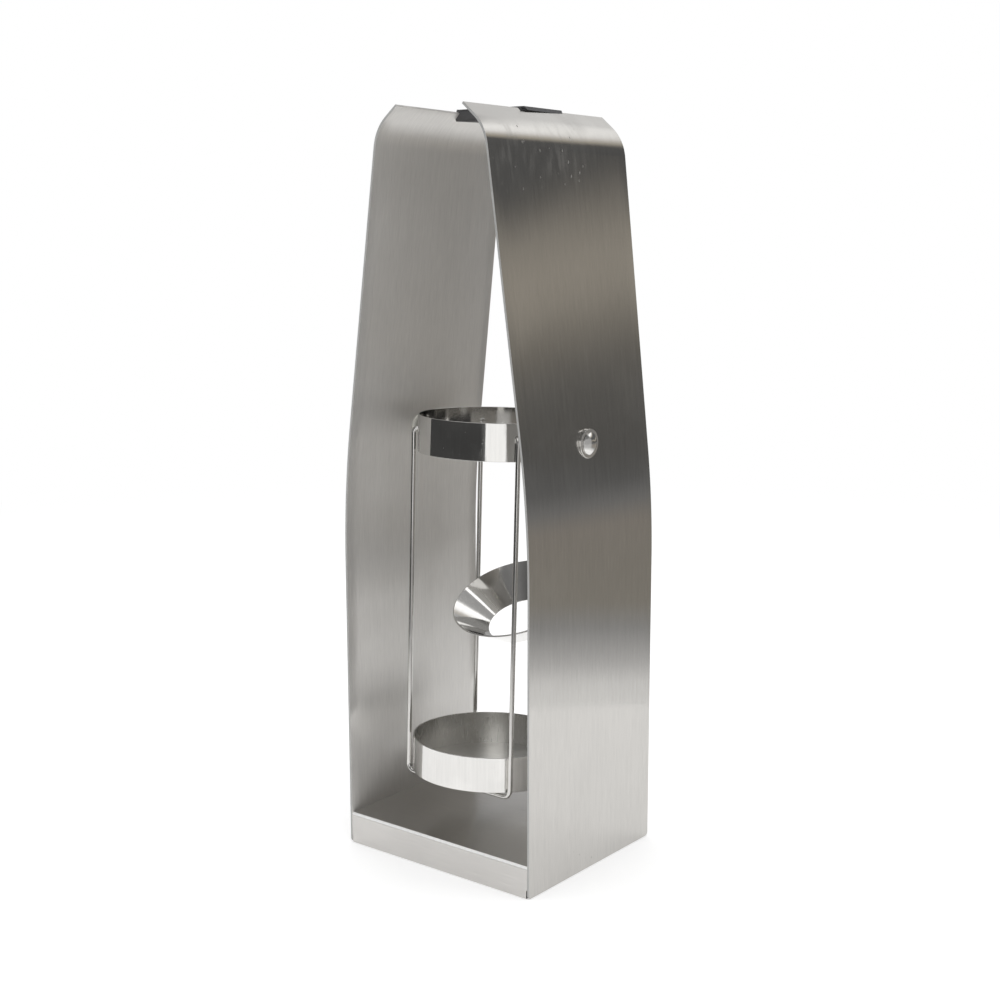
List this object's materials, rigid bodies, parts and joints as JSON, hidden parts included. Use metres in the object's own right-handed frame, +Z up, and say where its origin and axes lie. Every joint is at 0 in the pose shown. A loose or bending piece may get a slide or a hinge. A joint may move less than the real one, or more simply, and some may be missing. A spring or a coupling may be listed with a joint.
{
  "type": "tilting bottle cradle",
  "caption": "Free-standing sheet-steel frame with a cylindrical bottle cage hung on side pivots so that it tilts, a sliding cone collar on the cage's rear wires, and a rubber clip at the top.",
  "frame": {"origin": "centre of the footprint, on the surface that the cradle stands on", "axes": "+Z up, +X to the right and -Y to the front of someone facing the open front; the pivots lie along X"},
  "size_m": [0.196, 0.172, 0.6251],
  "materials": {
    "side_steel": "brushed upright, satin, bright at the bend near the top",
    "tray_steel": "brushed, satin, with a rounded front fold",
    "polished_steel": "mirror-polished stainless steel",
    "wire_steel": "bright drawn stainless wire",
    "fastener_steel": "polished stainless steel",
    "clip_rubber": "matte black rubber",
    "bush_nylon": "natural nylon"
  },
  "bodies": {
    "frame": {"base_tray": "tray_steel", "left_side_panel": "side_steel", "right_side_panel": "side_steel", "top_bridge_clip": "clip_rubber", "left_pivot_washer": "fastener_steel", "right_pivot_washer": "fastener_steel", "left_pivot_bush": "bush_nylon", "right_pivot_bush": "bush_nylon"},
    "cradle": {"upper_ring": "polished_steel", "dish_band": "polished_steel", "dish_floor": "polished_steel", "front_wire_yoke": "wire_steel", "rear_wire_yoke": "wire_steel", "left_pivot_bolt": "fastener_steel", "right_pivot_bolt": "fastener_steel", "left_pivot_spacer": "polished_steel", "right_pivot_spacer": "polished_steel", "left_ring_boss": "polished_steel", "right_ring_boss": "polished_steel"},
    "collar": {"cone_collar": "polished_steel", "left_collar_eye": "polished_steel", "right_collar_eye": "polished_steel"}
  },
  "joints": [
    {"name": "cradle_tilt", "type": "hinge", "parent": "frame", "child": "cradle", "pos_m": [0, 0, 0.359], "axis": [1, 0, 0], "range_deg": [-143, 151]},
    {"name": "collar_slide", "type": "slide", "parent": "cradle", "child": "collar", "axis": [0, 0.0401, 0.9992], "range_m": [-0.0985, 0.12]}
  ]
}
